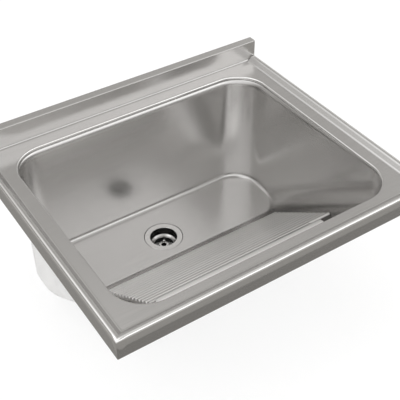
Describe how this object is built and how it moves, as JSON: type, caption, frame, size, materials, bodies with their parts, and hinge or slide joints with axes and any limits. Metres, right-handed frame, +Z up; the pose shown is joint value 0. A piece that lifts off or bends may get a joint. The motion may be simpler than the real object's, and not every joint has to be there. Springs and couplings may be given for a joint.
{
  "type": "laundry sink",
  "caption": "Sit-on stainless laundry sink with raised front and side edges, a back upstand and a deep bowl whose front wall is a ribbed washboard slope; grid waste with screwed outlet tail",
  "frame": {"origin": "On the wall plane, the back face of the upstand, at the middle of the width and level with the top of the raised bead", "axes": "+X to the right of the user, +Y into the wall, +Z up; the user stands at -Y"},
  "size_m": [0.6, 0.514, 0.3715],
  "materials": {
    "deck_steel": "satin brushed stainless sheet",
    "bowl_steel": "satin pressed stainless sheet",
    "waste_steel": "polished stainless",
    "waste_plastic": "moulded polypropylene",
    "seal_rubber": "black sealing rubber",
    "insert_brass": "turned brass",
    "pad_rubber": "dull damping sheet",
    "galvanised": "galvanised steel sheet",
    "rivet_aluminium": "plain aluminium",
    "screw_steel": "zinc plated"
  },
  "bodies": {
    "root": {"worktop_deck": "deck_steel", "wash_bowl": "bowl_steel", "strainer_cup": "waste_steel", "clamp_screw": "waste_steel", "flange_gasket": "seal_rubber", "body_gasket": "seal_rubber", "waste_body": "waste_plastic", "thread_insert": "insert_brass", "damping_pad_left": "pad_rubber", "damping_pad_right": "pad_rubber", "front_rail": "galvanised", "rear_rail": "galvanised", "left_rail": "galvanised", "right_rail": "galvanised", "corner_bracket_front_left": "galvanised", "corner_bracket_front_right": "galvanised", "corner_bracket_rear_left": "galvanised", "corner_bracket_rear_right": "galvanised", "bracket_rivets": "rivet_aluminium", "earthing_tag": "galvanised", "earthing_screw": "screw_steel", "earthing_washer": "screw_steel", "earthing_nut": "screw_steel"}
  },
  "joints": []
}
